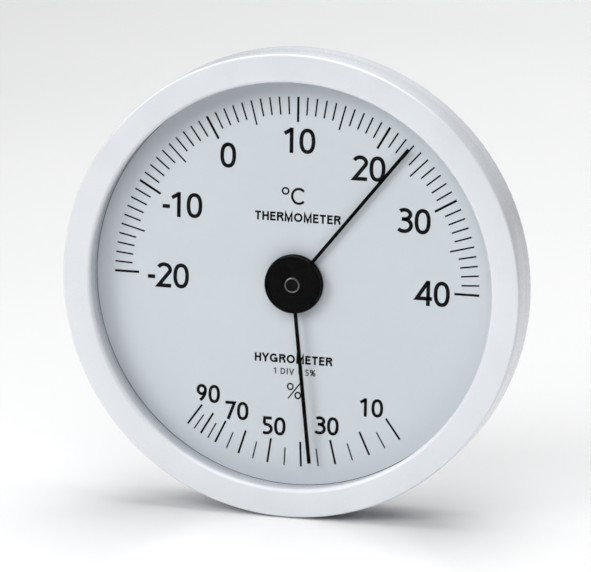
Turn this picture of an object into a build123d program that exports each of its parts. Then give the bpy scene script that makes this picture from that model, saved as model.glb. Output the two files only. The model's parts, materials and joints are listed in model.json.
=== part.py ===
from build123d import *
import math
import os

# Round dial thermometer and hygrometer. Millimetres, +Z up, front towards -Y.
# The dial's printed face is the depth datum: depths grow towards the back.
# The dial's centre is the datum across and up. Everything is shifted at the
# end, so that the origin is the bottom centre of the standing instrument.
# Dial angles are in degrees, anticlockwise from three o'clock, seen from the front.

# ---------------------------------------------------------------- fits
running_gap = 0.05          # radial, round piece turning in or on another
body_gap = 0.3              # between pieces that move past each other
slip_gap = 0.1              # radial, pieces that are pushed together by hand

# ---------------------------------------------------------------- case
case_radius = 65.0          # rim, at its back edge
rim_taper = 0.25             # how much less the radius is at the front
bezel_height = 7.8          # rim's face in front of the dial
rim_back = 7.0              # rim's back edge behind the dial
lip_radius = 56.9           # bezel's opening
lip_rounding = 1.1
face_rounding = 0.6
bezel_plate = 2.0           # thickness of the bezel's face
bezel_skirt = 0.9           # bezel's lower edge, behind the dial
rim_wall = 2.4
bead_height = 0.35          # snap bead inside the bezel
bead_width = 0.8
bead_depth = -1.6           # front edge of the bead
spigot_wall = 1.9
ledge_width = 2.0           # shelf that carries the dial
back_wall = 2.0             # thickness of the rim's back
back_rounding = 1.0
back_band = 2.5             # straight band before the rim's back edge
drum_radius = 55.0          # rear drum, outside
drum_wall = 2.5
drum_back = 17.4            # drum's back face
boss_circle = 49.5
boss_radius = 3.5
boss_angles = (30, 150, 270)
pilot_radius = 1.0
pilot_depth = 5.0

# ---------------------------------------------------------------- window and dial
window_thickness = 1.6
window_chamfer = 0.2
spacer_lip = 0.6            # spacer's bore is this much larger than the bezel's
spacer_undercut = 0.35
dial_thickness = 0.8
dial_hole_radius = 4.6
key_width = 2.6             # case keys that stop the dial from turning
key_depth = 0.9

# ---------------------------------------------------------------- back cover
cover_thickness = 2.0
cover_rebate = 1.5          # how far the cover laps onto the drum's wall
vent_width = 2.4
vent_inner = 29.0
vent_outer = 45.0
vent_spread = 40            # vents reach this far above and below level
vent_step = 8
keyhole_head_radius = 4.25
keyhole_slot_width = 4.2
keyhole_height = 35.0       # head hole above the dial's centre
keyhole_travel = 7.0
access_circle = 22.0        # slots through which the adjusters are turned
access_width = 3.2
access_extra = 3            # degrees of slot beyond the adjusters' travel

# ---------------------------------------------------------------- screws
screw_shank_radius = 0.95
screw_head_radius = 2.3
screw_head_height = 1.1
screw_slot_width = 0.6
screw_slot_depth = 0.5
screw_length = 4.5
screw_hole_radius = 1.3

# ---------------------------------------------------------------- movement frame
plate_thickness = 1.0
front_plate_front = 2.2
spider_hub_radius = 20.0
spider_arm_width = 8.0
spider_pad_radius = 4.5
rear_plate_front = 12.8
rear_plate_radius = 20.0
rear_plate_bay = 12.0       # radius of the bays cut between the pillars
pillar_circle = 17.0
pillar_radius = 2.0
pillar_angles = (90, 210, 330)
rivet_radius = 1.2
rivet_head_radius = 2.0
rivet_head_height = 0.5
bush_wall = 1.2
bush_flange = 1.4
bush_flange_thickness = 0.6

# ---------------------------------------------------------------- arbors and collets
arbor_radius = 1.2
arbor_back = 14.6
sleeve_wall = 0.75
sleeve_back = 8.4
collet_wall = 1.4
collet_rim = 0.1            # collet's length beyond its coil, at each end

# ---------------------------------------------------------------- coils
bimetal_thickness = 0.5
bimetal_width = 3.2
bimetal_pitch = 1.7
bimetal_half_turns = 9
humidity_thickness = 0.45
humidity_width = 2.2
humidity_pitch = 1.9
humidity_half_turns = 9
coil_tail = 2.6

# ---------------------------------------------------------------- adjusters
adjuster_thickness = 0.8
adjuster_ring = 2.4
adjuster_arm_width = 4.0
fork_prong = 0.9
thermometer_adjuster_angle = 50
hygrometer_adjuster_angle = 130
adjuster_travel = 8         # degrees each way
adjuster_tab_width = 2.4
adjuster_tab_length = 2.0   # along the arm
cover_clearance = 0.7       # tabs end this far from the cover

# ---------------------------------------------------------------- pointers
pointer_width = 0.96
pointer_thickness = 0.5
pointer_margin = 6.4        # pointers end this far inside the bezel's opening
disc_thickness = 1.1
rear_disc_front = -2.0
rear_disc_radius = 8.25
front_disc_radius = 8.0
disc_rounding = 0.3
thermometer_reading = 22.9          # degrees Celsius at rest
scale_bottom = -20.0                # reading at nine o'clock
degrees_per_celsius = 3.0
hygrometer_angle = -83.7            # pointer at about 37 % humidity
eyelet_radius = 2.1
eyelet_rim = 0.45
eyelet_height = 0.4
arbor_tip = 0.15                    # arbor's end in front of the disc

# ---------------------------------------------------------------- stand
stand_angle = 13.0          # leg's lean when it is open
pivot_drop = 12.0           # hinge below the dial's centre
barrel_gap = 0.6            # between the leg's barrel and its bracket
bracket_thickness = 1.2
bracket_margin = 1.0        # bracket's base beyond the ears and the leg's stop
bracket_tab = 7.0           # width of the riveted tab outside each ear
ear_thickness = 1.6
ear_radius = 3.6
pin_head_radius = 2.4
pin_head_thickness = 0.7
stand_pin_radius = 1.5
barrel_radius = 3.4
leg_top_width = 22.0
leg_foot_width = 32.0
leg_thickness = 3.0
leg_flare = 16.0            # height over which the leg widens at its foot
leg_bend_rounding = 12.0
leg_edge_rounding = 0.5
stop_height = 5.0
foot_pad_height = 1.2
foot_pad_width = 8.0

# ---------------------------------------------------------------- worked out
front_radius = case_radius - rim_taper
pointer_reach = lip_radius - pointer_margin
face_depth = -bezel_height
pane_front = face_depth + bezel_plate
pane_back = pane_front + window_thickness
rim_length = rim_back - back_band + bezel_height
skirt_radius = front_radius + rim_taper * (bezel_skirt + bezel_height) / rim_length
cavity_radius = case_radius - rim_wall
spigot_radius = cavity_radius - slip_gap
spigot_bore = spigot_radius - spigot_wall
ledge_radius = spigot_bore - ledge_width
window_radius = spigot_radius - slip_gap
dial_radius = spigot_bore - slip_gap
spacer_radius = lip_radius + spacer_lip
drum_bore = drum_radius - drum_wall
cover_front = drum_back - cover_thickness
cover_radius = drum_bore + cover_rebate

front_plate_back = front_plate_front + plate_thickness
rear_plate_back = rear_plate_front + plate_thickness
sleeve_bore = arbor_radius + running_gap
sleeve_radius = sleeve_bore + sleeve_wall
front_bush_bore = sleeve_radius + running_gap
front_bush_radius = front_bush_bore + bush_wall
rear_bush_bore = arbor_radius + running_gap
rear_bush_radius = rear_bush_bore + bush_wall

thermometer_adjuster_front = front_plate_back + body_gap
thermometer_adjuster_back = thermometer_adjuster_front + adjuster_thickness
front_bush_back = thermometer_adjuster_back + running_gap
bimetal_front = front_bush_back + body_gap + collet_rim
bimetal_back = bimetal_front + bimetal_width
hygrometer_adjuster_back = rear_plate_front - body_gap
hygrometer_adjuster_front = hygrometer_adjuster_back - adjuster_thickness
rear_bush_front = hygrometer_adjuster_front - running_gap
humidity_back = rear_bush_front - body_gap - collet_rim
humidity_front = humidity_back - humidity_width
thermometer_collet_radius = sleeve_radius + collet_wall
hygrometer_collet_radius = arbor_radius + collet_wall

rear_disc_back = rear_disc_front + disc_thickness
front_disc_back = rear_disc_front - body_gap
front_disc_front = front_disc_back - disc_thickness
eyelet_front = front_disc_front - eyelet_height
eyelet_barrel_radius = eyelet_radius - eyelet_rim
thermometer_angle = 180 - degrees_per_celsius * (thermometer_reading - scale_bottom)

bracket_back = drum_back + bracket_thickness
pivot_gap = barrel_gap + barrel_radius
pivot_depth = bracket_back + pivot_gap
barrel_length = leg_top_width
ear_inner = barrel_length / 2 + body_gap
ear_outer = ear_inner + ear_thickness
bracket_rivet = ear_outer + bracket_tab / 2
floor_height = -case_radius
leg_drop = case_radius - pivot_drop


# ---------------------------------------------------------------- helpers
def turned(*points, roundings=()):
    """Solid of revolution about the dial's axis from (radius, depth) points."""
    face = make_face(Polyline(*points, close=True))
    for corner, radius in roundings:
        vertex = face.vertices().sort_by_distance(Vector(corner[0], corner[1], 0))[0]
        face = fillet(vertex, radius)
    return revolve(face, Axis.Y)


def disc(radius, front, back, at=(0, 0)):
    """Cylinder along the dial's axis; at is its centre, across and up."""
    bottom = (Align.CENTER, Align.CENTER, Align.MIN)
    return Pos(at[0], front, at[1]) * Rot(-90, 0, 0) * Cylinder(radius, back - front, align=bottom)


def tube(outer, bore, front, back, at=(0, 0)):
    return disc(outer, front, back, at) - disc(bore, front - 1, back + 1, at)


def plate(sketch, front, back):
    """A flat shape, drawn across and up, made solid between two depths."""
    return extrude(Plane.XZ.offset(-back) * sketch, amount=back - front)


def polar(radius, angle):
    return (radius * math.cos(math.radians(angle)), radius * math.sin(math.radians(angle)))


def bar(inner, outer, width, angle):
    """Radial strip in the dial's plane."""
    strip = Pos((inner + outer) / 2, 0) * Rectangle(outer - inner, width)
    return Rot(0, 0, angle) * strip


def screw(at, head_front, points_back):
    """Pan-head screw with a plain slot; head_front is the head's outer face."""
    way = 1 if points_back else -1
    head_back = head_front + way * screw_head_height
    tip = head_back + way * screw_length
    slot_floor = head_front + way * screw_slot_depth
    head = disc(screw_head_radius, min(head_front, head_back), max(head_front, head_back), at)
    rim = head.edges().filter_by(GeomType.CIRCLE)
    outer_rim = rim.sort_by(Axis.Y)[0] if points_back else rim.sort_by(Axis.Y)[-1]
    head = fillet(outer_rim, screw_head_height * 0.4)
    shank = disc(screw_shank_radius, min(head_back, tip), max(head_back, tip), at)
    slot = Pos(*at) * Rectangle(2 * screw_head_radius + 1, screw_slot_width)
    slot_start = head_front - way
    cut = plate(slot, min(slot_start, slot_floor), max(slot_start, slot_floor))
    return head + shank - cut


def write(name, *solids):
    """Shift to the standing frame and write one node."""
    moved = [Pos(0, depth_shift, case_radius) * solid for solid in solids]
    shape = moved[0] if len(moved) == 1 else Compound(children=moved)
    export_step(shape, "parts/" + name + ".step")


# ---------------------------------------------------------------- case
def make_bezel():
    ring = turned(
        (lip_radius, pane_front), (lip_radius, face_depth), (front_radius, face_depth),
        (skirt_radius, bezel_skirt), (cavity_radius, bezel_skirt), (cavity_radius, pane_front),
        roundings=(((lip_radius, face_depth), lip_rounding), ((front_radius, face_depth), face_rounding)))
    bead_middle = bead_depth + bead_width / 2
    bead = turned(
        (cavity_radius + slip_gap, bead_depth), (cavity_radius - bead_height, bead_middle),
        (cavity_radius + slip_gap, bead_depth + bead_width))
    return ring + bead


def make_window():
    pane = disc(window_radius, pane_front, pane_back)
    return chamfer(pane.edges(), window_chamfer)


def make_spacer_ring():
    return turned(
        (spacer_radius, pane_back), (dial_radius, pane_back), (dial_radius, 0),
        (spacer_radius + spacer_undercut, 0), (spacer_radius, -spacer_undercut))


def make_dial_plate():
    blank = disc(dial_radius, 0, dial_thickness) - disc(dial_hole_radius, -1, dial_thickness + 1)
    for angle in (0, 180):
        notch = bar(dial_radius - key_depth - slip_gap, dial_radius + 1, key_width + 2 * slip_gap, angle)
        blank -= plate(notch, -1, dial_thickness + 1)
    return blank


def make_rear_case():
    shell = turned(
        (spigot_bore, pane_back), (spigot_radius, pane_back), (spigot_radius, bezel_skirt),
        (skirt_radius, bezel_skirt), (case_radius, rim_back - back_band),
        (case_radius, rim_back), (drum_radius, rim_back),
        (drum_radius, drum_back), (cover_radius + slip_gap, drum_back),
        (cover_radius + slip_gap, cover_front), (drum_bore, cover_front),
        (drum_bore, rim_back - back_wall), (ledge_radius, rim_back - back_wall),
        (ledge_radius, dial_thickness), (spigot_bore, dial_thickness),
        roundings=(((case_radius, rim_back), back_rounding), ((drum_radius, drum_back), back_rounding / 2)))
    groove_middle = bead_depth + bead_width / 2
    groove_half = bead_width / 2 + 2 * slip_gap
    shell -= turned(
        (spigot_radius + 1, groove_middle - groove_half), (spigot_radius - bead_height, groove_middle - slip_gap),
        (spigot_radius - bead_height, groove_middle + slip_gap), (spigot_radius + 1, groove_middle + groove_half))
    for angle in (0, 180):
        shell += plate(bar(dial_radius - key_depth, spigot_bore + slip_gap, key_width, angle), 0, dial_thickness)
    for angle in boss_angles:
        centre = polar(boss_circle, angle)
        web = bar(boss_circle, drum_bore + slip_gap, boss_radius, angle)
        shell += disc(boss_radius, front_plate_back, cover_front, centre)
        shell += plate(web, front_plate_back, cover_front)
        shell -= disc(pilot_radius, front_plate_back - 1, front_plate_back + pilot_depth, centre)
        shell -= disc(pilot_radius, cover_front - pilot_depth, cover_front + 1, centre)
    return shell


# ---------------------------------------------------------------- back cover
def arc_slot(radius, angle, half_angle, width):
    """Curved slot round the dial's axis."""
    middle = CenterArc((0, 0), radius, angle - half_angle, 2 * half_angle)
    return SlotArc(middle, width)


def make_back_cover():
    cover = disc(cover_radius, cover_front, drum_back)
    for side in (0, 180):
        for step in range(-vent_spread, vent_spread + 1, vent_step):
            middle = Rot(0, 0, side + step) * Pos((vent_inner + vent_outer) / 2, 0)
            vent = middle * SlotOverall(vent_outer - vent_inner, vent_width)
            cover -= plate(vent, cover_front - 1, drum_back + 1)
    head = Pos(0, keyhole_height) * Circle(keyhole_head_radius)
    slot = Pos(0, keyhole_height + keyhole_travel / 2) * Rectangle(keyhole_slot_width, keyhole_travel)
    top = Pos(0, keyhole_height + keyhole_travel) * Circle(keyhole_slot_width / 2)
    cover -= plate(head + slot + top, cover_front - 1, drum_back + 1)
    for angle in (thermometer_adjuster_angle, hygrometer_adjuster_angle):
        slot = arc_slot(access_circle, angle, adjuster_travel + access_extra, access_width)
        cover -= plate(slot, cover_front - 1, drum_back + 1)
    for angle in boss_angles:
        cover -= disc(screw_hole_radius, cover_front - 1, drum_back + 1, polar(boss_circle, angle))
    for side in (-1, 1):
        cover -= disc(rivet_radius, cover_front - 1, drum_back + 1, (side * bracket_rivet, -pivot_drop))
    return cover


# ---------------------------------------------------------------- movement frame
def make_front_plate():
    outline = Circle(spider_hub_radius)
    for angle in boss_angles:
        outline += bar(0, boss_circle, spider_arm_width, angle)
        outline += Pos(*polar(boss_circle, angle)) * Circle(spider_pad_radius)
    for angle in boss_angles:
        outline -= Pos(*polar(boss_circle, angle)) * Circle(screw_hole_radius)
    for angle in pillar_angles:
        outline -= Pos(*polar(pillar_circle, angle)) * Circle(rivet_radius)
    outline -= Circle(front_bush_radius)
    return plate(outline, front_plate_front, front_plate_back)


def make_rear_plate():
    outline = Circle(rear_plate_radius)
    for angle in pillar_angles:
        outline -= Pos(*polar(rear_plate_radius + rear_plate_bay / 2, angle + 60)) * Circle(rear_plate_bay)
        outline -= Pos(*polar(pillar_circle, angle)) * Circle(screw_hole_radius)
    outline -= Circle(rear_bush_radius)
    return plate(outline, rear_plate_front, rear_plate_back)


def make_pillar(angle):
    """Pillar riveted through the front plate and tapped at the back."""
    centre = polar(pillar_circle, angle)
    post = disc(pillar_radius, front_plate_back, rear_plate_front, centre)
    post += disc(rivet_radius, front_plate_front, front_plate_back, centre)
    post += disc(rivet_head_radius, front_plate_front - rivet_head_height, front_plate_front, centre)
    return post - disc(screw_shank_radius, rear_plate_front - pilot_depth, rear_plate_front + 1, centre)


def make_front_bush():
    barrel = disc(front_bush_radius, front_plate_front, front_bush_back)
    flange_radius = front_bush_radius + bush_flange
    flange = disc(flange_radius, front_plate_front - bush_flange_thickness, front_plate_front)
    return barrel + flange - disc(front_bush_bore, 0, front_bush_back + 1)


def make_rear_bush():
    barrel = disc(rear_bush_radius, rear_bush_front, rear_plate_back)
    flange_radius = rear_bush_radius + bush_flange
    flange = disc(flange_radius, rear_plate_back, rear_plate_back + bush_flange_thickness)
    return barrel + flange - disc(rear_bush_bore, rear_bush_front - 1, drum_back)


# ---------------------------------------------------------------- coils and adjusters
def coil_end(inner_radius, pitch, half_turns):
    """Inner edge of the strip where the last half turn ends, on the coil's +X side."""
    return inner_radius + pitch / 2 * (half_turns - 1) + pitch / 2 * ((half_turns + 1) % 2)


def spiral_edge(first_radius, pitch, half_turns):
    """One edge of a spiral strip: half circles about two centres, pitch / 2 apart."""
    edges = []
    for index in range(half_turns):
        centre = (pitch / 2 * (index % 2), 0)
        radius = first_radius + pitch / 2 * index
        edges.append(CenterArc(centre, radius, 180 * (index % 2), 180))
    return edges


def make_coil(inner_radius, thickness, width, pitch, half_turns, angle, front):
    """Spiral strip that ends, after its tail, in the fork of the adjuster at this angle."""
    inner = spiral_edge(inner_radius, pitch, half_turns)
    outer = spiral_edge(inner_radius + thickness, pitch, half_turns)
    inner_start = inner[0] @ 0
    outer_start = outer[0] @ 0
    inner_end = inner[-1] @ 1
    outer_end = outer[-1] @ 1
    tail = Vector(0, -coil_tail) if half_turns % 2 else Vector(0, coil_tail)
    edges = inner + outer
    edges.append(Line(inner_start, outer_start))
    edges.append(Line(inner_end, inner_end + tail))
    edges.append(Line(inner_end + tail, outer_end + tail))
    edges.append(Line(outer_end + tail, outer_end))
    strip = make_face(Wire(edges))
    turn = angle - 180 if half_turns % 2 else angle
    return plate(Rot(0, 0, turn) * strip, front, front + width)


def make_adjuster(angle, front, bush_radius, strip_radius, strip_thickness, prong_front, prong_back, tab_front):
    """Lever that holds the outer end of a coil; its tab reaches towards the back cover."""
    bore = bush_radius + running_gap
    back = front + adjuster_thickness
    tab_outer = access_circle + adjuster_tab_length / 2
    lever = Circle(bore + adjuster_ring) + bar(0, tab_outer, adjuster_arm_width, angle) - Circle(bore)
    piece = plate(lever, front, back)
    fork_inner = bar(strip_radius - fork_prong, strip_radius, coil_tail, angle)
    strip_outer = strip_radius + strip_thickness
    fork_outer = bar(strip_outer, strip_outer + fork_prong, coil_tail, angle)
    middle = polar_shift(angle, coil_tail / 2)
    piece += plate(middle * (fork_inner + fork_outer), min(front, prong_front), max(back, prong_back))
    tab = bar(tab_outer - adjuster_tab_length, tab_outer, adjuster_tab_width, angle)
    return piece + plate(tab, tab_front, cover_front - cover_clearance)


def polar_shift(angle, distance):
    """Shift in the dial's plane, square to the radius at this angle."""
    return Pos(-distance * math.sin(math.radians(angle)), distance * math.cos(math.radians(angle)))


# ---------------------------------------------------------------- pointers
def make_pointer(angle, front, radius, bore):
    """Hub disc with a flat blade moulded into its side."""
    hub = disc(radius, front, front + disc_thickness)
    hub = fillet(hub.edges().filter_by(GeomType.CIRCLE).sort_by(Axis.Y)[0], disc_rounding)
    blade_front = front + (disc_thickness - pointer_thickness) / 2
    blade = plate(bar(bore, pointer_reach, pointer_width, angle), blade_front, blade_front + pointer_thickness)
    return hub + blade - disc(bore, front - 1, front + disc_thickness + 1)


def make_hub_eyelet():
    rim = tube(eyelet_radius, eyelet_barrel_radius, eyelet_front, front_disc_front)
    barrel = tube(eyelet_barrel_radius, arbor_radius, front_disc_front, front_disc_back)
    floor = tube(eyelet_radius, arbor_radius, front_disc_front - arbor_tip, front_disc_front)
    return rim + barrel + floor


def make_arbor():
    rod = disc(arbor_radius, front_disc_front - arbor_tip, arbor_back)
    return chamfer(rod.edges().filter_by(GeomType.CIRCLE), arbor_tip)


# ---------------------------------------------------------------- stand
def make_stand_bracket():
    """Folded plate with an ear at each end of the hinge and a riveted tab outside each ear."""
    bottom = -pivot_drop - ear_radius - bracket_margin
    top = -pivot_drop + stop_height + bracket_margin
    base = Pos(0, (bottom + top) / 2) * Rectangle(2 * ear_outer, top - bottom)
    tabs = Pos(0, -pivot_drop) * SlotOverall(2 * (ear_outer + bracket_tab), bracket_tab)
    outline = base + tabs
    for side in (-1, 1):
        outline -= Pos(side * bracket_rivet, -pivot_drop) * Circle(rivet_radius)
    bracket = plate(outline, drum_back, bracket_back)
    for side in (-1, 1):
        bracket += make_ear(side)
    return bracket


def make_ear(side):
    middle = side * (ear_inner + ear_outer) / 2
    eye = cross_rod(ear_radius, ear_thickness, middle)
    web = Pos(middle, (drum_back + pivot_depth) / 2, -pivot_drop)
    web *= Box(ear_thickness, pivot_depth - drum_back, 2 * ear_radius)
    return eye + web - cross_rod(stand_pin_radius, ear_thickness + 2, middle)


def make_bracket_rivet(side):
    centre = (side * bracket_rivet, -pivot_drop)
    rivet = disc(rivet_radius, cover_front, bracket_back, centre)
    rivet += disc(rivet_head_radius, cover_front - rivet_head_height, cover_front, centre)
    return rivet + disc(rivet_head_radius, bracket_back, bracket_back + rivet_head_height, centre)


def cross_rod(radius, length, middle=0):
    """Cylinder along the stand's hinge."""
    return Pos(middle, pivot_depth, -pivot_drop) * Rot(0, 90, 0) * Cylinder(radius, length)


def make_leg_blank():
    """Open leg, running on below the floor."""
    overrun = foot_pad_height + leg_thickness
    length = leg_drop / math.cos(math.radians(stand_angle)) + overrun
    half_top = leg_top_width / 2
    half_foot = leg_foot_width / 2
    flare_top = -length + leg_flare + overrun
    outline = make_face(Polyline(
        (-half_top, 0), (half_top, 0), (half_top, flare_top),
        (half_foot, -length + overrun), (half_foot, -length), (-half_foot, -length),
        (-half_foot, -length + overrun), (-half_top, flare_top), close=True))
    for side in (-half_top, half_top):
        bend = outline.vertices().sort_by_distance((side, flare_top, 0))[0]
        outline = fillet(bend, leg_bend_rounding)
    blade = plate(outline, -leg_thickness / 2, leg_thickness / 2)
    long_edges = blade.edges().filter_by(Plane.XZ)
    blade = fillet(long_edges.filter_by(lambda edge: edge.center().Z < -barrel_radius), leg_edge_rounding)
    barrel = Rot(0, 90, 0) * Cylinder(barrel_radius, barrel_length)
    lean = math.radians(stand_angle)
    stop_depth = (pivot_gap - body_gap - stop_height * math.sin(lean)) / math.cos(lean)
    heel_outline = Pos(0, stop_height / 2) * Rectangle(barrel_length, stop_height)
    heel = plate(heel_outline, -stop_depth, stop_depth / 2)
    heel -= plate(heel_outline, -stop_depth + leg_thickness, stop_depth)
    bore = Rot(0, 90, 0) * Cylinder(stand_pin_radius + running_gap, barrel_length + 2)
    leg = blade + barrel + heel - bore
    return Pos(0, pivot_depth, -pivot_drop) * Rot(stand_angle, 0, 0) * leg


def slab(bottom, top, left, right):
    """Level block right across the stand, for cutting its foot."""
    reach = 4 * case_radius
    return Pos((left + right) / 2, 0, (bottom + top) / 2) * Box(right - left, reach, top - bottom)


def make_stand_leg():
    pads_top = floor_height + foot_pad_height
    return make_leg_blank() & slab(pads_top, case_radius, -case_radius, case_radius)


def make_foot_pad(side):
    outer = side * leg_foot_width / 2
    inner = side * (leg_foot_width / 2 - foot_pad_width)
    block = slab(floor_height, floor_height + foot_pad_height, min(inner, outer), max(inner, outer))
    return make_leg_blank() & block


def make_stand_pin():
    pin = cross_rod(stand_pin_radius, 2 * ear_outer)
    for side in (-1, 1):
        pin += cross_rod(pin_head_radius, pin_head_thickness, side * (ear_outer + pin_head_thickness / 2))
    return pin


# ---------------------------------------------------------------- build
os.makedirs("parts", exist_ok=True)

bimetal_radius = thermometer_collet_radius + running_gap
humidity_radius = hygrometer_collet_radius + running_gap
bimetal_strip_radius = coil_end(bimetal_radius, bimetal_pitch, bimetal_half_turns)
humidity_strip_radius = coil_end(humidity_radius, humidity_pitch, humidity_half_turns)

stand_leg = make_stand_leg()
foot_pads = [make_foot_pad(side) for side in (-1, 1)]
standing_back = max(pad.bounding_box().max.Y for pad in foot_pads)
depth_shift = -(face_depth + standing_back) / 2

cover_screw_front = drum_back + screw_head_height
plate_screw_front = front_plate_front - screw_head_height
pillar_screw_front = rear_plate_back + screw_head_height

write("bezel", make_bezel())
write("window", make_window())
write("spacer_ring", make_spacer_ring())
write("dial_plate", make_dial_plate())
write("rear_case", make_rear_case())
write("back_cover", make_back_cover())
write("cover_screws", *[screw(polar(boss_circle, a), cover_screw_front, False) for a in boss_angles])
write("movement_front_plate", make_front_plate())
write("movement_rear_plate", make_rear_plate())
write("front_plate_screws", *[screw(polar(boss_circle, a), plate_screw_front, True) for a in boss_angles])
write("rear_plate_screws", *[screw(polar(pillar_circle, a), pillar_screw_front, False) for a in pillar_angles])
write("movement_pillars", *[make_pillar(a) for a in pillar_angles])
write("front_bush", make_front_bush())
write("rear_bush", make_rear_bush())

write("thermometer_adjuster", make_adjuster(
    thermometer_adjuster_angle, thermometer_adjuster_front, front_bush_radius,
    bimetal_strip_radius, bimetal_thickness, thermometer_adjuster_front, bimetal_back, thermometer_adjuster_front))
write("bimetal_coil", make_coil(
    bimetal_radius, bimetal_thickness, bimetal_width, bimetal_pitch, bimetal_half_turns,
    thermometer_adjuster_angle, bimetal_front))
write("thermometer_sleeve", tube(sleeve_radius, sleeve_bore, rear_disc_front, sleeve_back))
write("thermometer_collet", tube(
    thermometer_collet_radius, sleeve_radius, bimetal_front - collet_rim, bimetal_back + collet_rim))
write("thermometer_pointer", make_pointer(thermometer_angle, rear_disc_front, rear_disc_radius, sleeve_radius))

write("hygrometer_adjuster", make_adjuster(
    hygrometer_adjuster_angle, hygrometer_adjuster_front, rear_bush_radius,
    humidity_strip_radius, humidity_thickness, humidity_front, hygrometer_adjuster_back,
    hygrometer_adjuster_front))
write("humidity_coil", make_coil(
    humidity_radius, humidity_thickness, humidity_width, humidity_pitch, humidity_half_turns,
    hygrometer_adjuster_angle, humidity_front))
write("hygrometer_arbor", make_arbor())
write("hygrometer_collet", tube(
    hygrometer_collet_radius, arbor_radius, humidity_front - collet_rim, humidity_back + collet_rim))
write("hygrometer_pointer", make_pointer(
    hygrometer_angle, front_disc_front, front_disc_radius, eyelet_barrel_radius))
write("hub_eyelet", make_hub_eyelet())

write("stand_bracket", make_stand_bracket())
write("bracket_rivets", *[make_bracket_rivet(side) for side in (-1, 1)])
write("stand_leg", stand_leg)
write("stand_foot_pads", *foot_pads)
write("stand_pin", make_stand_pin())
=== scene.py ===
import json
import math

import bmesh
import bpy
from mathutils import Matrix, Vector


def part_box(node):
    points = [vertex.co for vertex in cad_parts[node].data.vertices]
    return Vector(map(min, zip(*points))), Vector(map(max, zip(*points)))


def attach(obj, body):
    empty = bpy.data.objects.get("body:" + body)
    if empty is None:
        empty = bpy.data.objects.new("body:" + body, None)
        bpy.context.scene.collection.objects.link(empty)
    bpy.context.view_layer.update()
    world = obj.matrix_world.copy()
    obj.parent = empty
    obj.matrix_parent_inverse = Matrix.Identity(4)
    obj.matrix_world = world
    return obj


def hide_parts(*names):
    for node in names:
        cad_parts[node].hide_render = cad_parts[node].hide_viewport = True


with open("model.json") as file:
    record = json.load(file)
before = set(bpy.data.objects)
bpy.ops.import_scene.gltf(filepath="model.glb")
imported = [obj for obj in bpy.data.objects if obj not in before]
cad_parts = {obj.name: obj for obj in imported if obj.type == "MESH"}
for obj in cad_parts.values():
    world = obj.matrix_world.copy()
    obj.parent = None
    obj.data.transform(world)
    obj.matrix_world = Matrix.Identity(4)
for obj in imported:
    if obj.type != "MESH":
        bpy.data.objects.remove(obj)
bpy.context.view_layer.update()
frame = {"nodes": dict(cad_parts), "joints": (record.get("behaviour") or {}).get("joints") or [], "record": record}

MM = 0.001

# The dial's centre, on its printed face, is the datum for everything on the front.
hinge = next(j for j in frame["joints"] if j["name"] == "thermometer_reading")
CENTRE = Vector((hinge["pos_m"][0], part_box("dial_plate")[0].y, hinge["pos_m"][2]))


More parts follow.
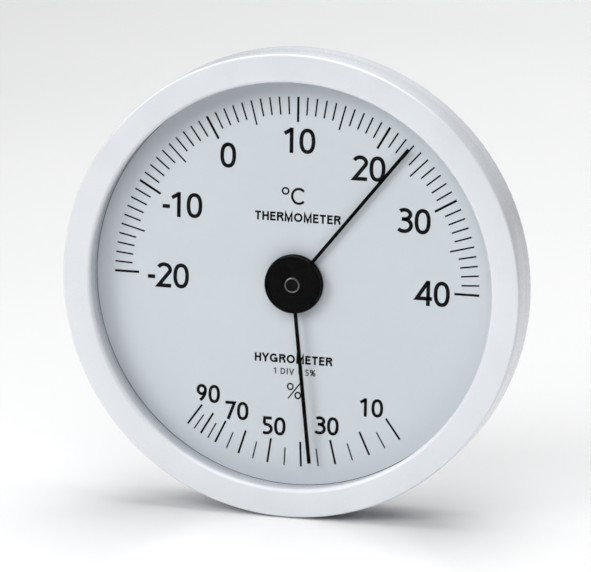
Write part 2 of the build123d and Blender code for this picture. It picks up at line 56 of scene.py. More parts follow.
# ---------------------------------------------------------------- node materials
class Shader:
    """A material's node tree with one Principled shader, and short calls to add nodes."""

    def __init__(self, name, **sockets):
        self.material = bpy.data.materials.new(name)
        self.material.use_nodes = True
        self.tree = self.material.node_tree
        self.bsdf = self.tree.nodes["Principled BSDF"]
        self.output = self.tree.nodes["Material Output"]
        for key, value in sockets.items():
            self.bsdf.inputs[key.replace("_", " ")].default_value = value
        self.place = self.add("ShaderNodeTexCoord").outputs["Object"]

    def add(self, kind, **values):
        node = self.tree.nodes.new(kind)
        for key, value in values.items():
            if key in node.inputs:
                node.inputs[key].default_value = value
            else:
                setattr(node, key, value)
        return node

    def link(self, source, target):
        self.tree.links.new(source, target)

    def stretched(self, scale):
        """The surface's place, scaled unevenly."""
        mapping = self.add("ShaderNodeMapping", Scale=scale)
        self.link(self.place, mapping.inputs["Vector"])
        return mapping.outputs["Vector"]

    def around_axis(self):
        """Distance from the dial's axis, in metres."""
        shift = self.add("ShaderNodeVectorMath", operation="SUBTRACT")
        self.link(self.place, shift.inputs[0])
        shift.inputs[1].default_value = CENTRE
        flat = self.add("ShaderNodeVectorMath", operation="MULTIPLY")
        self.link(shift.outputs[0], flat.inputs[0])
        flat.inputs[1].default_value = (1, 0, 1)
        length = self.add("ShaderNodeVectorMath", operation="LENGTH")
        self.link(flat.outputs[0], length.inputs[0])
        return length.outputs["Value"]

    def noise(self, grain, detail=3.0, roughness=0.5, place=None):
        """Noise with grains about this many metres across."""
        node = self.add("ShaderNodeTexNoise", Scale=1 / grain, Detail=detail, Roughness=roughness)
        self.link(place or self.place, node.inputs["Vector"])
        return node.outputs["Fac"]

    def remap(self, value, low, high, start=0.3, end=0.7):
        """A value between start and end, brought to between low and high."""
        node = self.add("ShaderNodeMapRange")
        self.link(value, node.inputs["Value"])
        for key, number in (("From Min", start), ("From Max", end), ("To Min", low), ("To Max", high)):
            node.inputs[key].default_value = number
        return node.outputs["Result"]

    def colours(self, value, first, second, start=0.3, end=0.7):
        """A blend between two colours, driven by a value."""
        ramp = self.add("ShaderNodeValToRGB")
        ramp.color_ramp.elements[0].position = start
        ramp.color_ramp.elements[0].color = (*first, 1)
        ramp.color_ramp.elements[1].position = end
        ramp.color_ramp.elements[1].color = (*second, 1)
        self.link(value, ramp.inputs["Fac"])
        return ramp.outputs["Color"]

    def paint(self, value, first, second, start=0.3, end=0.7):
        """Base colour, blended between two colours."""
        self.link(self.colours(value, first, second, start, end), self.bsdf.inputs["Base Color"])

    def polish(self, value, low, high):
        """Roughness, varied between two numbers."""
        self.link(self.remap(value, low, high), self.bsdf.inputs["Roughness"])

    def relief(self, value, depth, strength=1.0):
        """Bump of this many metres."""
        bump = self.add("ShaderNodeBump", Strength=strength, Distance=depth)
        self.link(value, bump.inputs["Height"])
        self.link(bump.outputs["Normal"], self.bsdf.inputs["Normal"])


def tinted(colour, factor):
    """A colour made lighter or darker."""
    return tuple(min(1.0, c * factor) for c in colour)


def moulded_plastic(name, colour, roughness, grain, depth, tone=0.03):
    """Injection-moulded plastic: slight clouding, an even fine grain and small changes of gloss."""
    shader = Shader(name, Specular_IOR_Level=0.7)
    clouds = shader.noise(18 * MM, detail=2)
    fine = shader.noise(grain, detail=4, roughness=0.6)
    shader.paint(clouds, tinted(colour, 1 - tone), tinted(colour, 1 + tone))
    shader.polish(fine, roughness - 0.05, roughness + 0.07)
    shader.relief(fine, depth)
    return shader.material


def dial_paint(name, colour):
    """Matt silver-grey paint with a fine metallic fleck."""
    shader = Shader(name, Specular_IOR_Level=0.35)
    clouds = shader.noise(30 * MM, detail=2)
    fleck = shader.noise(0.35 * MM, detail=2, roughness=0.7)
    fleck_share = 0.7
    mixed = shader.add("ShaderNodeMath", operation="MULTIPLY_ADD")
    shader.link(fleck, mixed.inputs[0])
    mixed.inputs[1].default_value = fleck_share
    rest = shader.add("ShaderNodeMath", operation="MULTIPLY")
    shader.link(clouds, rest.inputs[0])
    rest.inputs[1].default_value = 1 - fleck_share
    shader.link(rest.outputs[0], mixed.inputs[2])
    shader.paint(mixed.outputs[0], tinted(colour, 0.965), tinted(colour, 1.03))
    shader.polish(fleck, 0.5, 0.62)
    shader.relief(fleck, 0.004 * MM)
    return shader.material


def printing_ink(name, colour):
    """Screen-printed ink: nearly black, with slight unevenness."""
    shader = Shader(name, Specular_IOR_Level=0.03)
    film = shader.noise(0.6 * MM, detail=4)
    shader.paint(film, colour, tinted(colour, 1.9))
    shader.polish(film, 0.42, 0.62)
    shader.relief(film, 0.004 * MM)
    return shader.material


def gloss_black(name):
    """Polished black plastic with a faint ripple."""
    shader = Shader(name, Specular_IOR_Level=0.05)
    ripple = shader.noise(2.2 * MM, detail=2)
    dust = shader.noise(0.25 * MM, detail=4, roughness=0.75)
    shader.paint(dust, (0.001, 0.001, 0.0012), (0.004, 0.004, 0.0045), 0.45, 0.8)
    shader.polish(dust, 0.2, 0.32)
    shader.relief(ripple, 0.006 * MM)
    return shader.material


def black_oxide(name):
    """Steel with a polished black oxide: dark, with bright glints where it is rounded."""
    shader = Shader(name, Specular_IOR_Level=0.08)
    wear = shader.noise(0.4 * MM, detail=4, roughness=0.7)
    shader.paint(wear, (0.003, 0.003, 0.0035), (0.012, 0.012, 0.013), 0.45, 0.8)
    shader.polish(wear, 0.12, 0.24)
    shader.relief(wear, 0.002 * MM)
    return shader.material


def rolled_metal(name, colour, roughness, along, depth=0.006 * MM):
    """Rolled or drawn metal: fine lines along one direction."""
    shader = Shader(name, Metallic=1.0)
    lines = shader.noise(0.9 * MM, detail=5, roughness=0.65, place=shader.stretched(along))
    blotches = shader.noise(6 * MM, detail=3)
    shader.paint(blotches, tinted(colour, 0.86), tinted(colour, 1.06))
    shader.polish(lines, roughness - 0.08, roughness + 0.12)
    shader.relief(lines, depth)
    return shader.material


def turned_metal(name, colour, roughness, pitch=0.12 * MM):
    """Lathe-turned metal: rings about the dial's axis."""
    shader = Shader(name, Metallic=1.0)
    rings = shader.add("ShaderNodeMath", operation="SINE")
    phase = shader.add("ShaderNodeMath", operation="MULTIPLY")
    shader.link(shader.around_axis(), phase.inputs[0])
    phase.inputs[1].default_value = 2 * math.pi / pitch
    shader.link(phase.outputs[0], rings.inputs[0])
    blotches = shader.noise(1.5 * MM, detail=3)
    shader.paint(blotches, tinted(colour, 0.85), tinted(colour, 1.05))
    shader.link(shader.remap(rings.outputs[0], roughness - 0.05, roughness + 0.08, -1, 1),
                shader.bsdf.inputs["Roughness"])
    shader.relief(rings.outputs[0], 0.002 * MM)
    return shader.material


def laminated_strip(name):
    """Humidity-sensing laminate: warm translucent film with fibres along it."""
    shader = Shader(name)
    fibres = shader.noise(0.7 * MM, detail=5, roughness=0.7, place=shader.stretched((1, 5, 1)))
    shader.paint(fibres, (0.5, 0.38, 0.2), (0.72, 0.6, 0.36))
    shader.polish(fibres, 0.4, 0.6)
    shader.relief(fibres, 0.01 * MM)
    return shader.material


def foot_rubber(name):
    """Matt black rubber with a coarse grain."""
    shader = Shader(name, Specular_IOR_Level=0.3)
    grain = shader.noise(0.5 * MM, detail=5, roughness=0.7)
    shader.paint(grain, (0.018, 0.018, 0.02), (0.05, 0.05, 0.054))
    shader.polish(grain, 0.7, 0.9)
    shader.relief(grain, 0.03 * MM)
    return shader.material


def clear_pane(name):
    """Thin clear window: it lets light straight through and mirrors a little of it."""
    shader = Shader(name)
    clear = shader.add("ShaderNodeBsdfTransparent", Color=(0.985, 0.99, 0.992, 1))
    mirror = shader.add("ShaderNodeBsdfGlossy")
    haze = shader.noise(9 * MM, detail=3)
    shader.link(shader.remap(haze, 0.02, 0.05), mirror.inputs["Roughness"])
    fresnel = shader.add("ShaderNodeFresnel", IOR=1.08)
    mix = shader.add("ShaderNodeMixShader")
    shader.link(fresnel.outputs[0], mix.inputs["Fac"])
    shader.link(clear.outputs[0], mix.inputs[1])
    shader.link(mirror.outputs[0], mix.inputs[2])
    shader.link(mix.outputs[0], shader.output.inputs["Surface"])
    shader.tree.nodes.remove(shader.bsdf)
    return shader.material


WHITE = (0.735, 0.755, 0.795)
DIAL_SILVER = (0.69, 0.725, 0.76)
MATERIALS = {
    "case_plastic": moulded_plastic(
        "white_plastic", WHITE, roughness=0.22, grain=0.5 * MM, depth=0.0007 * MM),
    "back_plastic": moulded_plastic(
        "textured_white_plastic", tinted(WHITE, 0.97), roughness=0.5, grain=0.35 * MM, depth=0.012 * MM),
    "window_clear": clear_pane("window_sheet"),
    "dial_paint": dial_paint("dial_silver_paint", DIAL_SILVER),
    "ink": printing_ink("dial_ink", (0.006, 0.006, 0.007)),
    "fine_ink": printing_ink("dial_fine_ink", (0.02, 0.02, 0.022)),
    "pointer_black": gloss_black("pointer_gloss_black"),
    "brass": turned_metal("turned_brass", (0.78, 0.6, 0.3), roughness=0.28),
    "steel": rolled_metal("rolled_steel", (0.4, 0.405, 0.41), roughness=0.34, along=(1, 1, 6)),
    "blackened_steel": black_oxide("blackened_steel"),
    # Lighter steel for the eyelet's rim than its black oxide, so that the rim shows as a bright ring: partly
    # rubbed wear, partly a painted highlight.
    "rubbed_highlight_edge": turned_metal("rubbed_steel_highlight_edge", (0.3, 0.3, 0.31), roughness=0.2, pitch=0.08 * MM),
    "bimetal": rolled_metal("bimetal_strip", (0.5, 0.47, 0.42), roughness=0.34, along=(1, 6, 1)),
    "humidity_strip": laminated_strip("humidity_laminate"),
    "foot_rubber": foot_rubber("foot_rubber"),
}


# ---------------------------------------------------------------- mesh helpers
def add_piece(name, points, faces, material, body, sharp=30):
    """A mesh in the row frame that rides on a body. Points are in metres."""
    mesh = bpy.data.meshes.new(name)
    mesh.from_pydata([tuple(p) for p in points], [], faces)
    mesh.update()
    mesh.materials.append(MATERIALS[material])
    mesh.shade_smooth()
    mesh.set_sharp_from_angle(angle=math.radians(sharp))
    piece = bpy.data.objects.new(name, mesh)
    bpy.context.scene.collection.objects.link(piece)
    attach(piece, body)
    return piece


def rounded(corners, steps=6):
    """A closed outline from (radius, depth, rounding) corners, with an arc at each rounded one."""
    outline = []
    count = len(corners)
    for index, (radius, depth, rounding) in enumerate(corners):
        here = Vector((radius, depth))
        if rounding <= 0:
            outline.append(here)
            continue
        before = (Vector(corners[index - 1][:2]) - here).normalized()
        after = (Vector(corners[(index + 1) % count][:2]) - here).normalized()
        half = before.angle(after) / 2
        middle = here + (before + after).normalized() * rounding / math.sin(half)
        reach = rounding / math.tan(half)
        start = here + before * reach - middle
        sweep = (here + after * reach - middle).angle_signed(start)
        for step in range(steps + 1):
            outline.append(middle + Matrix.Rotation(sweep * step / steps, 2) @ start)
    return outline


def turn(name, corners, material, body, segments=288, steps=6, sharp=30):
    """Solid of revolution about the dial's axis; corners are in mm from the dial's centre."""
    outline = rounded(corners, steps)
    points = []
    faces = []
    count = len(outline)
    for segment in range(segments):
        angle = 2 * math.pi * segment / segments
        for radius, depth in outline:
            points.append(CENTRE + Vector((radius * math.cos(angle), depth, radius * math.sin(angle))) * MM)
    for segment in range(segments):
        first = segment * count
        second = (segment + 1) % segments * count
        for index in range(count):
            following = (index + 1) % count
            faces.append((first + index, first + following, second + following, second + index))
    piece = add_piece(name, points, faces, material, body, sharp)
    face_outwards(piece)
    return piece


def face_outwards(piece):
    """Turn every face's normal to the outside."""
    work = bmesh.new()
    work.from_mesh(piece.data)
    bmesh.ops.recalc_face_normals(work, faces=work.faces)
    work.to_mesh(piece.data)
    work.free()


# ---------------------------------------------------------------- camera, light, floor
CAMERA_PLACE = (310.9, -1180.9, 253.0)      # mm from the dial's centre
CAMERA_AIM = (0.06, 0, -0.88)               # mm from the dial's centre
CAMERA_ROLL = 0.966                         # degrees
CAMERA_LENS = 275.4                         # mm
SENSOR_WIDTH = 36                           # mm


def look_at(obj, target, roll=0.0):
    """Turn an object so that it faces a point, then roll it by some degrees."""
    direction = target - obj.location
    turn_to = direction.to_track_quat("-Z", "Y").to_matrix().to_4x4()
    turn_to = turn_to @ Matrix.Rotation(math.radians(roll), 4, "Z")
    obj.matrix_world = Matrix.Translation(obj.location) @ turn_to


def make_camera():
    data = bpy.data.cameras.new("camera")
    data.sensor_width = SENSOR_WIDTH
    data.lens = CAMERA_LENS
    data.clip_end = 20
    camera = bpy.data.objects.new("camera", data)
    bpy.context.scene.collection.objects.link(camera)
    camera.location = CENTRE + Vector(CAMERA_PLACE) * MM
    look_at(camera, CENTRE + Vector(CAMERA_AIM) * MM, CAMERA_ROLL)
    bpy.context.scene.camera = camera


def area_light(name, direction, distance, size, power, spread, aim=None):
    """A round lamp this many metres from the dial, facing the dial or aim, with a beam in degrees."""
    data = bpy.data.lights.new(name, "AREA")
    data.shape = "DISK"
    data.size = size
    data.energy = power
    data.spread = math.radians(spread)
    light = bpy.data.objects.new(name, data)
    bpy.context.scene.collection.objects.link(light)
    light.location = CENTRE + Vector(direction).normalized() * distance
    look_at(light, Vector(aim) if aim else CENTRE)


def make_floor():
    """A floor that runs up into a backdrop well behind the instrument. Sizes are in metres."""
    half, front, back, bend, height, steps = 6.0, -4.0, 3.0, 1.5, 4.0, 12
    rows = [(front, 0.0), (back, 0.0)]
    for step in range(1, steps + 1):
        angle = math.pi / 2 * step / steps
        rows.append((back + bend * math.sin(angle), bend * (1 - math.cos(angle))))
    rows.append((back + bend, height))
    points = [(side * half, y, z) for y, z in rows for side in (-1, 1)]
    faces = [(2 * k, 2 * k + 1, 2 * k + 3, 2 * k + 2) for k in range(len(rows) - 1)]
    mesh = bpy.data.meshes.new("floor")
    mesh.from_pydata(points, [], faces)
    mesh.shade_smooth()
    floor = bpy.data.objects.new("floor", mesh)
    bpy.context.scene.collection.objects.link(floor)
    shader = Shader("pale_floor", Specular_IOR_Level=0.25)
    tone = shader.noise(0.4, detail=2)
    shader.paint(tone, (0.86, 0.865, 0.87), (0.885, 0.885, 0.89))
    shader.polish(tone, 0.16, 0.2)
    mesh.materials.append(shader.material)


def make_world():
    world = bpy.data.worlds.new("studio")
    world.use_nodes = True
    background = world.node_tree.nodes["Background"]
    background.inputs["Color"].default_value = (0.97, 0.985, 1.0, 1)
    background.inputs["Strength"].default_value = 0.06
    bpy.context.scene.world = world


def make_studio():
    """Camera, four soft lamps and a pale floor."""
    make_camera()
    make_world()
    area_light("key", (-0.85, -1.0, 0.66), distance=1.4, size=0.9, power=1.62, spread=70)
    area_light("top_front", (0.15, -1.0, 0.95), distance=1.4, size=0.9, power=1.18, spread=70)
    area_light("overhead", (0.0, 0.1, 1.5), distance=1.6, size=1.5, power=9.2, spread=100)
    area_light("backdrop", (0.0, 1.35, 1.55), distance=2.1, size=1.4, power=15, spread=110, aim=(0, 1.6, 0))
    make_floor()
    bpy.context.scene.view_settings.view_transform = "Standard"


# ---------------------------------------------------------------- print on the dial
INK_RELIEF = 0.03           # mm that the ink stands proud of the paint
INK_ROOT = 0.02             # mm that it reaches into the paint
MITRE_LIMIT = 0.35          # least share that a corner's mitre is worked out with


class Print:
    """Flat ink shapes on the dial, gathered into one mesh. Coordinates are mm across and up."""

    def __init__(self):
        self.points = []
        self.faces = []

    def ribbon(self, line, width, closed=False):
        """A stroke of this width along a line of points, with square ends and mitred corners."""
        count = len(line)
        left, right = [], []
        for k in range(count):
            here = Vector(line[k])
            before = Vector(line[k - 1]) if k or closed else None
            after = Vector(line[(k + 1) % count]) if k < count - 1 or closed else None
            ways = []
            if before is not None:
                ways.append((here - before).normalized())
            if after is not None:
                ways.append((after - here).normalized())
            way = sum(ways, Vector((0, 0))).normalized()
            side = Vector((-way.y, way.x))
            stretch = 1 / max(MITRE_LIMIT, side.dot(Vector((-ways[0].y, ways[0].x))))
            left.append(here + side * stretch * width / 2)
            right.append(here - side * stretch * width / 2)
        self.strip(left, right, closed)

    def strip(self, left, right, closed):
        """A thin solid between two edges that run side by side."""
        first = len(self.points)
        count = len(left)
        for depth in (-INK_RELIEF, INK_ROOT):
            for pair in zip(left, right):
                for x, z in pair:
                    self.points.append(CENTRE + Vector((x, depth, z)) * MM)
        back = 2 * count
        for k in range(count if closed else count - 1):
            a = first + 2 * k
            b = first + 2 * ((k + 1) % count)
            self.faces.append((a, a + 1, b + 1, b))
            self.faces.append((b + back, b + 1 + back, a + 1 + back, a + back))
            self.faces.append((a, b, b + back, a + back))
            self.faces.append((b + 1, a + 1, a + 1 + back, b + 1 + back))
        if not closed:
            for end in (first, first + 2 * (count - 1)):
                self.faces.append((end, end + back, end + 1 + back, end + 1))

    def piece(self, name, material="ink"):
        """Make the gathered shapes into one object."""
        made = add_piece(name, self.points, self.faces, material, "frame")
        face_outwards(made)
        return made


def on_circle(radius, angle):
    """A point on the dial, from its radius and its angle in degrees from three o'clock."""
    return Vector((radius * math.cos(math.radians(angle)), radius * math.sin(math.radians(angle))))


# Where the ticks end, as radii, and how wide they are, in mm.
TICK_OUTER = 52.0
TICK_LONG = 45.0
TICK_SHORT = 47.0
TEMPERATURE_TICK = 0.66
TEMPERATURE_FINE_TICK = 0.44
HUMIDITY_TICK = 0.56
HUMIDITY_FINE_TICK = 0.38

# Where 0 degrees Celsius stands on the dial, and how far on the next degree is.
ZERO_ANGLE = 120
DEGREE_ANGLE = 3


def tick(ink, angle, inner, width):
    ink.ribbon([on_circle(inner, angle), on_circle(TICK_OUTER, angle)], width)


def temperature_angle(degrees):
    return ZERO_ANGLE - DEGREE_ANGLE * degrees


# Where the humidity scale's tens stand, from 10 to 90 per cent.
HUMIDITY_TENS = (306.0, 295.0, 283.75, 272.75, 262.0, 252.5, 244.5, 239.25, 234.25)


def humidity_angle(percent):
    """Angle of a humidity, taken evenly between the tens."""
    index = min(int(percent // 10) - 1, len(HUMIDITY_TENS) - 2)
    share = percent / 10 - 1 - index
    return HUMIDITY_TENS[index] * (1 - share) + HUMIDITY_TENS[index + 1] * share


def print_scales():
    """Both scales' ticks: 1 degree and 5 per cent apart."""
    thick, thin, humid = Print(), Print(), Print()
    for degrees in range(-20, 41):
        if degrees % 10 == 0:
            tick(thick, temperature_angle(degrees), TICK_LONG, TEMPERATURE_TICK)
        elif degrees % 5 == 0:
            tick(thin, temperature_angle(degrees), TICK_LONG, TEMPERATURE_FINE_TICK)
        else:
            tick(thin, temperature_angle(degrees), TICK_SHORT, TEMPERATURE_FINE_TICK)
    for percent in range(10, 91, 5):
        if percent % 10 == 0:
            tick(thick, humidity_angle(percent), TICK_LONG, HUMIDITY_TICK)
        else:
            tick(humid, humidity_angle(percent), TICK_SHORT, HUMIDITY_FINE_TICK)
    thick.piece("scale_main_ticks")
    thin.piece("thermometer_fine_ticks")
    humid.piece("hygrometer_fine_ticks", "fine_ink")


# ---------------------------------------------------------------- lettering
def arc(centre, radii, start, end, steps=14):
    """Points on an ellipse from one angle to another."""
    line = []
    for step in range(steps + 1):
        angle = math.radians(start + (end - start) * step / steps)
        line.append((centre[0] + radii[0] * math.cos(angle), centre[1] + radii[1] * math.sin(angle)))
    return line


def oval(width, height, stroke, squareness=2.35, steps=40):
    """Centre line of a round letter: an ellipse with slightly squarer shoulders."""
    line = []
    a, b = (width - stroke) / 2, (height - stroke) / 2
    for step in range(steps):
        angle = 2 * math.pi * step / steps
        c, s = math.cos(angle), math.sin(angle)
        x = a * math.copysign(abs(c) ** (2 / squareness), c)
        z = b * math.copysign(abs(s) ** (2 / squareness), s)
        line.append((x + width / 2, z + height / 2))
    return line


# Each sign gives its strokes for a cap height of 1, as (points, closed), and its own width.
# s is the stroke's width.
def sign_0(s):
    return [(oval(0.64, 1.0, s), True)], 0.64


def sign_1(s):
    x = 0.36 - s / 2
    return [([(x, 0), (x, 1)], False), ([(0.0, 0.76), (x + 0.1 * s, 0.94)], False)], 0.52


def sign_2(s):
    bowl = arc((0.285, 0.72), (0.245, 0.28 - s / 2), 158, -22, 16)
    line = bowl + [(0.06, s / 2), (0.58, s / 2)]
    return [(line, False)], 0.58


def sign_3(s):
    crown, waist, foot = 1 - s / 2, 0.555, s / 2
    top = arc((0.225, (crown + waist) / 2), (0.235, (crown - waist) / 2), 138, -90, 14)
    low = arc((0.21, (waist + foot) / 2), (0.285, (waist - foot) / 2), 90, -140, 16)
    return [(top + [(0.12, waist)], False), ([(0.12, waist)] + low, False)], 0.55


def sign_4(s):
    x, bar = 0.52, 0.285
    slope = [(x - 0.085 * s, 1 - 0.275 * s), (0.07, bar), (0.68, bar)]
    return [([(x, 0), (x, 1)], False), (slope, False)], 0.66


def sign_5(s):
    bowl = arc((0.19, 0.32), (0.29, 0.32 - s / 2), 100, -125, 18)
    flag = [(0.5, 1 - s / 2), (0.1, 1 - s / 2), (0.085, 0.58)]
    return [(flag, False), ([(0.075, 0.58)] + bowl[1:], False)], 0.54


def sign_7(s):
    line = [(0.0, 1 - s / 2), (0.5, 1 - s / 2), (0.16, 0)]
    return [(line, False)], 0.56


def sign_9(s):
    bowl = arc((0.29, 0.69), (0.29 - s / 2, 0.31 - s / 2), 0, 360, 30)[:-1]
    tail = arc((-0.05, 0.70), (0.63 - s / 2, 0.66), 0, -62, 12)
    return [(bowl, True), (tail, False)], 0.58


def sign_minus(s):
    return [([(0, 0.41), (0.3, 0.41)], False)], 0.3


def sign_c(s):
    return [(arc((0.47, 0.5), (0.47 - s / 2, 0.5 - s / 2), 42, 318, 26), False)], 0.86


def sign_d(s):
    bowl = arc((0.3, 0.5), (0.48 - s / 2, 0.5 - s / 2), 90, -90, 14)
    return [([(s / 2, s / 2), (s / 2, 1 - s / 2)] + bowl, True)], 0.78


def sign_i(s):
    return [([(s / 2, 0), (s / 2, 1)], False)], s


def sign_v(s):
    return [([(0.03, 1), (0.37, 0.06), (0.71, 1)], False)], 0.74


def sign_equals(s):
    return [([(0.08, 0.33), (0.6, 0.33)], False), ([(0.08, 0.67), (0.6, 0.67)], False)], 0.68


def sign_space(s):
    return [], 0.12


def sign_percent(s):
    rings = [(arc((x, z), (0.17, 0.19), 0, 360, 16)[:-1], True) for x, z in ((0.2, 0.76), (0.66, 0.24))]
    return rings + [([(0.12, 0.02), (0.74, 0.98)], False)], 0.86


def sign_e(s):
    return [([(0.62, 1 - s / 2), (s / 2, 1 - s / 2), (s / 2, s / 2), (0.64, s / 2)], False),
            ([(s / 2, 0.53), (0.58, 0.53)], False)], 0.64


def sign_g(s):
    curve = arc((0.48, 0.5), (0.48 - s / 2, 0.5 - s / 2), 42, 330, 26)
    return [(curve, False), ([(0.5, 0.46), (0.93 - s / 2, 0.46), (0.93 - s / 2, 0.02)], False)], 0.96


def sign_h(s):
    right = 0.76 - s / 2
    return [([(s / 2, 0), (s / 2, 1)], False), ([(right, 0), (right, 1)], False),
            ([(s / 2, 0.53), (right, 0.53)], False)], 0.76


def sign_m(s):
    right = 0.92 - s / 2
    return [([(s / 2, 0), (s / 2, 0.97), (0.46, 0.1), (right, 0.97), (right, 0)], False)], 0.92


def sign_o(s):
    return [(oval(0.98, 1.0, s, 2.0), True)], 0.98


def sign_r(s):
    bowl = arc((0.44, 0.745), (0.22, 0.255 - s / 2), 90, -90, 10)
    return [([(s / 2, 0), (s / 2, 1 - s / 2)] + bowl + [(s / 2, 0.49)], False),
            ([(0.42, 0.49), (0.62, 0.3), (0.66, 0.0)], False)], 0.74


def sign_t(s):
    return [([(0, 1 - s / 2), (0.7, 1 - s / 2)], False), ([(0.35, 0), (0.35, 1 - s / 2)], False)], 0.7


def sign_y(s):
    return [([(0.02, 1), (0.36, 0.45), (0.70, 1)], False), ([(0.36, 0), (0.36, 0.45)], False)], 0.72


SIGNS = {
    "0": sign_0, "1": sign_1, "2": sign_2, "3": sign_3, "4": sign_4, "5": sign_5, "7": sign_7, "9": sign_9,
    " ": sign_space, "-": sign_minus, "=": sign_equals, "%": sign_percent, "C": sign_c, "D": sign_d,
    "E": sign_e, "G": sign_g, "H": sign_h, "I": sign_i, "M": sign_m, "O": sign_o, "R": sign_r,
    "T": sign_t, "V": sign_v, "Y": sign_y}


def write_on_dial(ink, text, middle, height, stroke, gap):
    """Set a word about a middle point; height, stroke and gap are in mm."""
    width = stroke / height
    signs = [SIGNS[letter](width) for letter in text]
    total = sum(advance for _, advance in signs) * height + gap * (len(text) - 1)
    pen = middle[0] - total / 2
    for strokes, advance in signs:
        for line, closed in strokes:
            placed = [(pen + x * height, middle[1] + (z - 0.5) * height) for x, z in line]
            ink.ribbon(placed, stroke, closed)
        pen += advance * height + gap


# Label, radius and angle of its middle.
TEMPERATURE_LABELS = (
    ("-20", 36.5, 180.5), ("-10", 38.2, 148.8), ("0", 39.8, 119.7), ("10", 39.8, 89.1),
    ("20", 39.0, 58.6), ("30", 38.7, 30.3), ("40", 38.85, -0.5))
HUMIDITY_LABELS = (
    ("90", 41.3, 233.5), ("70", 40.8, 246.6), ("50", 41.35, 262.5), ("30", 41.0, 283.8),
    ("10", 40.5, 303.6))

# Text, its middle, height, stroke width and gap between letters, in mm.
WORDS = (
    ("THERMOMETER", (0.35, 18.35), 2.5, 0.54, 0.34),
    ("HYGROMETER", (-0.2, -21.6), 2.45, 0.54, 0.34),
    ("1 DIV = 5%", (0.2, -25.15), 1.75, 0.28, 0.42),
    ("C", (0.4, 24.3), 4.8, 0.68, 0))

# The degree ring and the large per cent sign: (middle, radii) of each ring, the bar's ends, strokes.
DEGREE_RING = ((-3.2, 25.6), (0.88, 0.88))
DEGREE_STROKE = 0.46
PERCENT_RINGS = (((-0.95, -29.4), (0.78, 0.86)), ((1.25, -31.8), (0.78, 0.86)))
PERCENT_BAR = [(-1.55, -32.85), (1.75, -28.45)]
PERCENT_RING_STROKE = 0.4
PERCENT_BAR_STROKE = 0.36

# Radius and width of the dark ring printed at the foot of the wall: a painted shadow of the gap between the wall
# and the dial.
EDGE_SHADOW_RADIUS = 57.25
EDGE_SHADOW_WIDTH = 0.14


def ring(ink, middle, radii, width, steps):
    """A closed ring of ink."""
    ink.ribbon(arc(middle, radii, 0, 360, steps)[:-1], width, True)


def print_numerals(name, labels, height, stroke, gap):
    ink = Print()
    for text, radius, angle in labels:
        write_on_dial(ink, text, on_circle(radius, angle), height, stroke, gap)
    ink.piece(name)


def print_labels():
    print_numerals("thermometer_numerals", TEMPERATURE_LABELS, height=7.05, stroke=1.06, gap=0.58)
    print_numerals("hygrometer_numerals", HUMIDITY_LABELS, height=5.2, stroke=0.86, gap=0.46)
    ink = Print()
    for text, middle, height, stroke, gap in WORDS:
        write_on_dial(ink, text, middle, height, stroke, gap)
    ring(ink, *DEGREE_RING, DEGREE_STROKE, 24)
    for middle, radii in PERCENT_RINGS:
        ring(ink, middle, radii, PERCENT_RING_STROKE, 20)
    ink.ribbon(PERCENT_BAR, PERCENT_BAR_STROKE)
    ink.piece("dial_words")


def print_edge_shadow():
    """A fine dark ring printed round the dial at the foot of the wall: a painted shadow for the shade in the gap
    between the wall and the dial.
    """
    ink = Print()
    ring(ink, (0, 0), (EDGE_SHADOW_RADIUS, EDGE_SHADOW_RADIUS), EDGE_SHADOW_WIDTH, 240)
    # The painted shadow is printed in the fine ink.
    ink.piece("dial_edge_painted_shadow", "fine_ink")


# ---------------------------------------------------------------- turned front pieces
def depth_of(value):
    """A row-frame depth in metres as mm from the dial's face."""
    return (value - CENTRE.y) / MM


# Radii and depths from the dial's face, in mm.
LIP_RADIUS = 56.9
LIP_BACK = -5.8             # the lip's rear face, where the window lies
LIP_ROUNDING = 1.15
FACE_RADIUS = 64.75
RIM_RADIUS = 64.92
BEZEL_BORE = 62.6
WALL_RADIUS = 57.5
WALL_OUTER_RADIUS = 60.5
UNDERCUT_RADIUS = 57.85
UNDERCUT_DEPTH = 0.35


def make_bezel():
    """White front ring with a well rounded lip and a softly rounded outer edge."""
    low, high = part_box("bezel")
    front, back = depth_of(low.y), depth_of(high.y)
    rim = turn("bezel_ring", (
        (LIP_RADIUS, LIP_BACK, 0.0), (LIP_RADIUS, front, LIP_ROUNDING), (FACE_RADIUS, front, 0.6),
        (RIM_RADIUS, back, 0.18), (BEZEL_BORE, back, 0.1), (BEZEL_BORE, LIP_BACK, 0.1)),
        "case_plastic", "frame", steps=8)
    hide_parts("bezel")


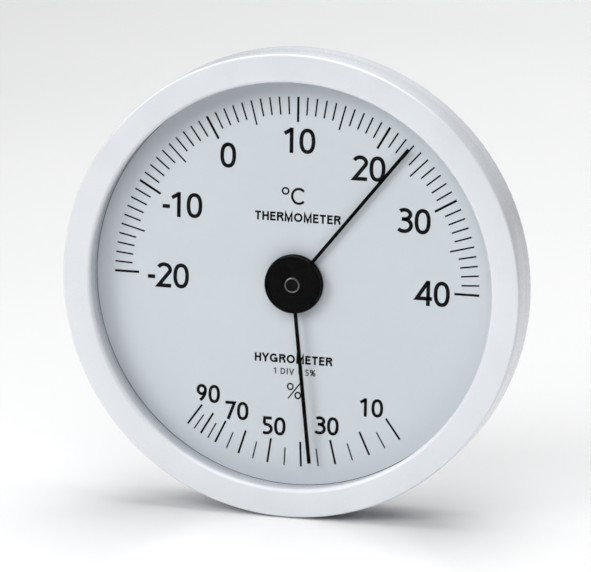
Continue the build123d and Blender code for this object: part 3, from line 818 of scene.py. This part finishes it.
def make_spacer():
    """White wall between the window and the dial, undercut where it meets the dial."""
    front = depth_of(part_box("spacer_ring")[0].y)
    wall = turn("spacer_wall", (
        (WALL_RADIUS, front, 0.15), (WALL_OUTER_RADIUS, front, 0.0), (WALL_OUTER_RADIUS, 0, 0.0),
        (UNDERCUT_RADIUS, 0, 0.0), (WALL_RADIUS, -UNDERCUT_DEPTH, 0.1)),
        "case_plastic", "frame", steps=3)
    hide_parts("spacer_ring")


ARBOR_RADIUS = 1.2
BARREL_RADIUS = 1.65
EYELET_RADIUS = 2.1
EYELET_RIM_INNER = 1.74
EYELET_FLOOR_RADIUS = 1.78
EYELET_HEIGHT = 0.4         # how far the eyelet stands above the hub's disc


def make_eyelet():
    """The eyelet's floor and barrel, and its turned-over rim, which shows as a fine bright ring: the rim's lighter
    steel is partly rubbed wear and partly a painted highlight.
    """
    low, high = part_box("hub_eyelet")
    front, back = depth_of(low.y), depth_of(high.y)
    disc_front = front + EYELET_HEIGHT
    floor = turn("eyelet_floor", (
        (ARBOR_RADIUS, front + 0.27, 0.05), (EYELET_FLOOR_RADIUS, front + 0.25, 0.0),
        (EYELET_FLOOR_RADIUS, disc_front, 0.0), (BARREL_RADIUS, disc_front, 0.0),
        (BARREL_RADIUS, back, 0.0), (ARBOR_RADIUS, back, 0.0)),
        "blackened_steel", "hygrometer_hand", segments=96, steps=5)
    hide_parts("hub_eyelet")
    # The rim takes the lighter steel, partly a painted highlight, so that it shows as a fine bright ring round the
    # dark floor.
    turn("eyelet_rim", (
        (EYELET_RIM_INNER, front, 0.16), (EYELET_RADIUS, front, 0.17),
        (EYELET_RADIUS, disc_front, 0.0), (EYELET_RIM_INNER, disc_front, 0.0)),
        "rubbed_highlight_edge", "hygrometer_hand", segments=96, steps=5)


# ---------------------------------------------------------------- finish CAD nodes
# Nodes whose finish differs from the plain one of their slot.
CAD_FINISH = {"back_cover": "back_plastic", "stand_leg": "back_plastic"}


def finish_nodes():
    """Give every CAD node, the hidden ones too, its procedural material."""
    slots = {row["node"]: row["material_slot"] for row in frame["record"]["subparts"]}
    for name, node in frame["nodes"].items():
        material = MATERIALS[CAD_FINISH.get(name, slots[name])]
        node.data.materials.clear()
        node.data.materials.append(material)


make_studio()
finish_nodes()
make_bezel()
make_spacer()
make_eyelet()
print_scales()
print_labels()
print_edge_shadow()
